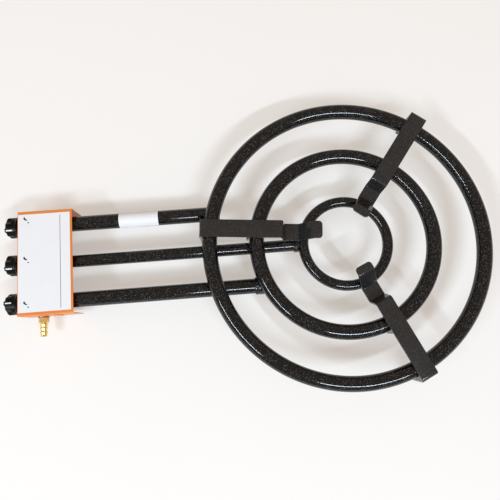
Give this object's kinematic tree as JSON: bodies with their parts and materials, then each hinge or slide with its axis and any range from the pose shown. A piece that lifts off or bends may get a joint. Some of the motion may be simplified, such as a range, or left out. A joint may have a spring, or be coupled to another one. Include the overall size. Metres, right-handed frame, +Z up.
{
  "type": "paella gas burner",
  "caption": "Gas burner for a wide pan: concentric tube rings on bent flat-bar legs, each fed by its own tube from a tap with a push-and-turn knob in a folded control box.",
  "frame": {"origin": "on the floor below the middle of the burner's box", "axes": "+X from the control box towards the rings, +Y towards the outer ring's tap, +Z up"},
  "size_m": [0.8342, 0.5, 0.0886],
  "materials": {
    "black_enamel": "glossy black enamel with a fine pale speckle",
    "arm_paint": "satin dark charcoal enamel",
    "orange_paint": "satin orange paint",
    "label": "bare white film",
    "zinc_steel": "zinc plated",
    "brass": "turned brass",
    "bright_steel": "turned steel",
    "fibre": "red fibre seal",
    "knob_plastic": "moulded black plastic"
  },
  "bodies": {
    "burner_frame": {"outer_ring": "black_enamel", "middle_ring": "black_enamel", "inner_ring": "black_enamel", "outer_feed_tube": "black_enamel", "middle_feed_tube": "black_enamel", "inner_feed_tube": "black_enamel", "outer_tube_cap": "black_enamel", "middle_tube_cap": "black_enamel", "inner_tube_cap": "black_enamel", "outer_weld": "black_enamel", "middle_weld": "black_enamel", "inner_weld": "black_enamel", "near_arm": "arm_paint", "far_left_arm": "arm_paint", "far_right_arm": "arm_paint", "near_ring_stop": "arm_paint", "far_left_ring_stop": "arm_paint", "far_right_ring_stop": "arm_paint", "box_cover": "orange_paint", "top_plate": "label", "tube_sticker": "label", "tube_bracket": "zinc_steel", "bracket_screws": "orange_paint", "gas_rail": "zinc_steel", "rail_plug": "brass", "hose_nozzle": "brass", "nozzle_washer": "fibre", "outer_valve_body": "brass", "outer_gland": "brass", "outer_injector": "brass", "outer_panel_nut": "zinc_steel", "inner_valve_body": "brass", "inner_gland": "brass", "inner_injector": "brass", "inner_panel_nut": "zinc_steel", "middle_valve_body": "brass", "middle_gland": "brass", "middle_injector": "brass", "middle_panel_nut": "zinc_steel"},
    "outer_plug_group": {"outer_valve_plug": "brass", "outer_spring": "bright_steel"},
    "outer_knob_group": {"outer_spindle": "bright_steel", "outer_knob": "knob_plastic"},
    "inner_plug_group": {"inner_valve_plug": "brass", "inner_spring": "bright_steel"},
    "inner_knob_group": {"inner_spindle": "bright_steel", "inner_knob": "knob_plastic"},
    "middle_plug_group": {"middle_valve_plug": "brass", "middle_spring": "bright_steel"},
    "middle_knob_group": {"middle_spindle": "bright_steel", "middle_knob": "knob_plastic"}
  },
  "joints": [
    {"name": "outer_turn", "type": "hinge", "parent": "burner_frame", "child": "outer_plug_group", "pos_m": [-0.39385, 0.0711, 0.045], "axis": [-1, 0, 0], "range_deg": [0, 180]},
    {"name": "outer_push", "type": "slide", "parent": "outer_plug_group", "child": "outer_knob_group", "axis": [1, 0, 0], "range_m": [0, 0.002], "stiffness_N_per_m": 900, "springref_m": -0.004, "deforming": ["outer_spring"]},
    {"name": "inner_turn", "type": "hinge", "parent": "burner_frame", "child": "inner_plug_group", "pos_m": [-0.39385, 0.0046, 0.045], "axis": [-1, 0, 0], "range_deg": [0, 180]},
    {"name": "inner_push", "type": "slide", "parent": "inner_plug_group", "child": "inner_knob_group", "axis": [1, 0, 0], "range_m": [0, 0.002], "stiffness_N_per_m": 900, "springref_m": -0.004, "deforming": ["inner_spring"]},
    {"name": "middle_turn", "type": "hinge", "parent": "burner_frame", "child": "middle_plug_group", "pos_m": [-0.39385, -0.0619, 0.045], "axis": [-1, 0, 0], "range_deg": [0, 180]},
    {"name": "middle_push", "type": "slide", "parent": "middle_plug_group", "child": "middle_knob_group", "axis": [1, 0, 0], "range_m": [0, 0.002], "stiffness_N_per_m": 900, "springref_m": -0.004, "deforming": ["middle_spring"]}
  ]
}
